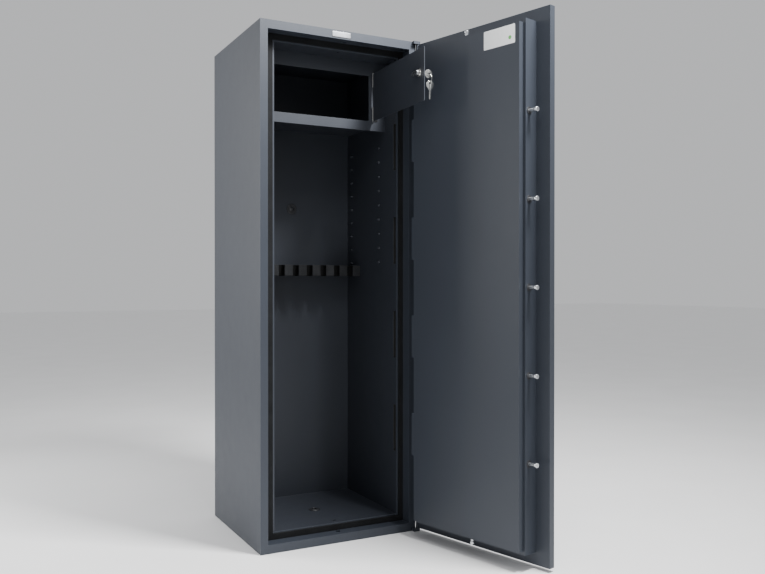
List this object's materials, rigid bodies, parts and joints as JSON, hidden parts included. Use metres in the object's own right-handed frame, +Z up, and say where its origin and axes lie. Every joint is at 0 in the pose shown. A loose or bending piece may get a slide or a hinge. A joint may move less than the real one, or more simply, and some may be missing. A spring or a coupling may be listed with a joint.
{
  "type": "gun safe",
  "caption": "Tall gun safe with a thick hinged door, sliding lock bolts, an inner lockable compartment with its own door and key, and a notched barrel rack.",
  "frame": {"origin": "centre of the cabinet's base", "axes": "+Z up, front of the cabinet towards -Y, hinges on the +X side; the door stands open at rest"},
  "size_m": [0.6428, 0.9327, 1.5],
  "materials": {
    "paint": "fine textured satin powder coat, blue-grey anthracite",
    "paint_inside": "fine textured satin powder coat",
    "fire_board": "dark gypsum-fibre board, faced with paper",
    "seal": "matt expanding seal strip",
    "dark_steel": "black-oxide finish",
    "zinc": "bright zinc plate",
    "plug": "matt",
    "plate": "brushed, blank",
    "nickel": "nickel plate",
    "foam": "closed-cell foam, matt",
    "label": "matt sticker",
    "brass": "machined",
    "guide": "moulded nylon",
    "chrome": "satin chrome"
  },
  "bodies": {
    "cabinet": {"outer_shell": "paint", "front_frame": "paint", "inner_liner": "paint_inside", "fire_boards": "fire_board", "door_seal": "seal", "anchor_sleeves": "dark_steel", "anchor_grommets": "plug", "nameplate": "plate", "hinge_tabs": "paint", "shelf_studs": "paint_inside", "locker_front": "paint_inside", "locker_shelf": "paint_inside", "locker_hinge_fixed": "nickel", "locker_hinge_pins": "nickel", "gun_rack": "foam", "rack_bracket": "paint_inside"},
    "locker_door": {"locker_door_panel": "paint_inside", "locker_hinge_moving": "nickel", "locker_lock_body": "nickel", "locker_lock_nut": "nickel"},
    "locker_cylinder": {"locker_cam": "zinc", "locker_key": "nickel"},
    "spare_key": {"key_ring": "nickel", "spare_key": "nickel"},
    "main_door": {"door_leaf": "paint", "door_fire_board": "fire_board", "door_back_plate": "paint", "boltwork_box": "paint", "cover_panel": "paint", "cover_screws": "zinc", "door_label": "label", "hinge_blocks": "paint", "hinge_pins": "dark_steel", "hinge_washers": "guide", "hinge_side_dogs": "paint", "bolt_guides": "guide", "handle_bush": "brass", "handle_rosette": "chrome", "lock_case": "zinc", "lock_cover": "zinc", "lock_rosette": "chrome"},
    "side_boltwork": {"bolt_bar": "zinc", "side_bolt_1": "zinc", "side_bolt_2": "zinc", "side_bolt_3": "zinc", "side_bolt_4": "zinc", "side_bolt_5": "zinc", "bolt_nuts": "zinc"},
    "top_boltwork": {"top_rod": "zinc", "top_bolt": "zinc"},
    "bottom_boltwork": {"bottom_rod": "zinc", "bottom_bolt": "zinc"},
    "handle": {"handle_spindle": "zinc", "handle_hub": "chrome", "handle_lever": "chrome", "drive_disc": "zinc"},
    "lock_bolt": {"lock_bolt": "brass"},
    "main_key": {"main_key": "nickel"}
  },
  "joints": [
    {"name": "main_door_hinge", "type": "hinge", "parent": "cabinet", "child": "main_door", "pos_m": [0.255, -0.2275, 0.75], "axis": [0, 0, 1], "range_deg": [-104.25, 15.75]},
    {"name": "locker_door_hinge", "type": "hinge", "parent": "cabinet", "child": "locker_door", "pos_m": [0.1635, -0.1065, 1.343], "axis": [0, 0, 1], "range_deg": [-88, 15]},
    {"name": "locker_key_turn", "type": "hinge", "parent": "locker_door", "child": "locker_cylinder", "pos_m": [0.15156, -0.41977, 1.35], "axis": [0.9994, -0.0349, 0], "range_deg": [0, 180]},
    {"name": "spare_key_swing", "type": "hinge", "parent": "locker_cylinder", "child": "spare_key", "pos_m": [0.18154, -0.42082, 1.35], "axis": [0.0349, 0.9994, 0], "range_deg": [-12, 12]},
    {"name": "handle_turn", "type": "hinge", "parent": "main_door", "child": "handle", "pos_m": [0.31094, -0.46401, 0.75], "axis": [0.9692, 0.2462, 0], "range_deg": [0, 60]},
    {"name": "side_bolts_slide", "type": "slide", "parent": "main_door", "child": "side_boltwork", "axis": [0.2462, -0.9692, 0], "range_m": [0, 0.014]},
    {"name": "top_bolt_slide", "type": "slide", "parent": "main_door", "child": "top_boltwork", "axis": [0, 0, 1], "range_m": [0, 0.014]},
    {"name": "bottom_bolt_slide", "type": "slide", "parent": "main_door", "child": "bottom_boltwork", "axis": [0, 0, -1], "range_m": [0, 0.014]},
    {"name": "key_turn", "type": "hinge", "parent": "main_door", "child": "main_key", "pos_m": [0.323, -0.5115, 0.88], "axis": [0.9692, 0.2462, 0], "range_deg": [0, 90]},
    {"name": "lock_bolt_slide", "type": "slide", "parent": "main_door", "child": "lock_bolt", "axis": [-0.2462, 0.9692, 0], "range_m": [0, 0.012]}
  ],
  "couplings": [
    {"joint": "locker_door_hinge", "follows": "main_door_hinge", "ratio": 0.84413},
    {"joint": "handle_turn", "follows": "side_bolts_slide", "rad_per_m": 74.8},
    {"joint": "top_bolt_slide", "follows": "side_bolts_slide", "ratio": 1},
    {"joint": "bottom_bolt_slide", "follows": "side_bolts_slide", "ratio": 1},
    {"joint": "key_turn", "follows": "lock_bolt_slide", "rad_per_m": 130.9}
  ]
}
